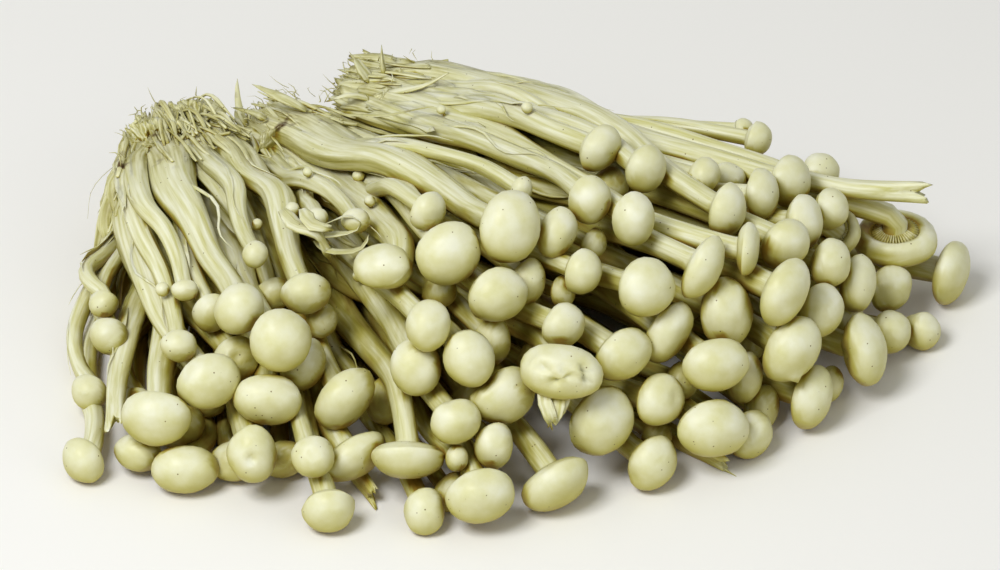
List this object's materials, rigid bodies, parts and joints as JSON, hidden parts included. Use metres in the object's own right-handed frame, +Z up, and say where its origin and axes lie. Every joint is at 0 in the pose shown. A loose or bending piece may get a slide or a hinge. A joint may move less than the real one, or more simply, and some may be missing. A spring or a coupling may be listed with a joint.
{
  "type": "enoki mushroom cluster",
  "caption": "Cluster of fresh enoki mushrooms lying on its side: long thin stems fan out from torn butts at the back to small round caps at the front.",
  "frame": {"origin": "under the middle of the cluster's bounding box, on the surface it lies on", "axes": "+X to the right along the fan of caps, +Y from the caps back to the butts, +Z up"},
  "size_m": [0.1838, 0.1322, 0.0529],
  "materials": {
    "mushroom_flesh": "moist satin flesh, ivory with a yellow-green cast, translucent",
    "torn_butt_flesh": "matt, torn and fibrous, dull olive"
  },
  "bodies": {
    "root": {"left_butt": "torn_butt_flesh", "left_outlier": "mushroom_flesh", "left_rim_tuft": "mushroom_flesh", "left_torn_stem": "mushroom_flesh", "left_upper_tuft": "mushroom_flesh", "left_slender_tuft": "mushroom_flesh", "left_shoulder_tuft": "mushroom_flesh", "left_crest_tuft": "mushroom_flesh", "left_inner_tuft": "mushroom_flesh", "left_middle_tuft": "mushroom_flesh", "left_stacked_pair": "mushroom_flesh", "left_corner_tuft": "mushroom_flesh", "left_front_tuft": "mushroom_flesh", "left_dimpled_pair": "mushroom_flesh", "left_foremost_pair": "mushroom_flesh", "left_right_tuft": "mushroom_flesh", "left_low_tuft": "mushroom_flesh", "middle_butt": "torn_butt_flesh", "middle_small_pair": "mushroom_flesh", "middle_sideways_mushroom": "mushroom_flesh", "middle_rear_tuft": "mushroom_flesh", "middle_broad_mushroom": "mushroom_flesh", "middle_top_tuft": "mushroom_flesh", "middle_shaded_tuft": "mushroom_flesh", "middle_left_edge_tuft": "mushroom_flesh", "middle_centre_tuft": "mushroom_flesh", "middle_hanging_mushroom": "mushroom_flesh", "middle_pebble_tuft": "mushroom_flesh", "middle_heart_mushroom": "mushroom_flesh", "middle_front_tuft": "mushroom_flesh", "middle_leaning_mushroom": "mushroom_flesh", "middle_folded_mushroom": "mushroom_flesh", "middle_notch_tuft": "mushroom_flesh", "middle_ball_tuft": "mushroom_flesh", "middle_slanting_mushroom": "mushroom_flesh", "middle_round_mushroom": "mushroom_flesh", "middle_right_tuft": "mushroom_flesh", "middle_low_mushroom": "mushroom_flesh", "middle_outer_tuft": "mushroom_flesh", "right_butt": "torn_butt_flesh", "right_upper_pair": "mushroom_flesh", "right_rear_pair": "mushroom_flesh", "right_ridge_pair": "mushroom_flesh", "right_ridge_tuft": "mushroom_flesh", "right_back_pair": "mushroom_flesh", "right_saddle_tuft": "mushroom_flesh", "right_far_pair": "mushroom_flesh", "right_brow_pair": "mushroom_flesh", "right_edge_on_tuft": "mushroom_flesh", "right_peaked_mushroom": "mushroom_flesh", "right_oval_tuft": "mushroom_flesh", "right_left_edge_pair": "mushroom_flesh", "right_low_pair": "mushroom_flesh", "right_tailed_mushroom": "mushroom_flesh", "right_flank_pair": "mushroom_flesh", "right_lobed_mushroom": "mushroom_flesh", "right_front_pair": "mushroom_flesh", "right_shadow_tuft": "mushroom_flesh", "right_outlier": "mushroom_flesh", "right_gilled_pair": "mushroom_flesh"}
  },
  "joints": []
}
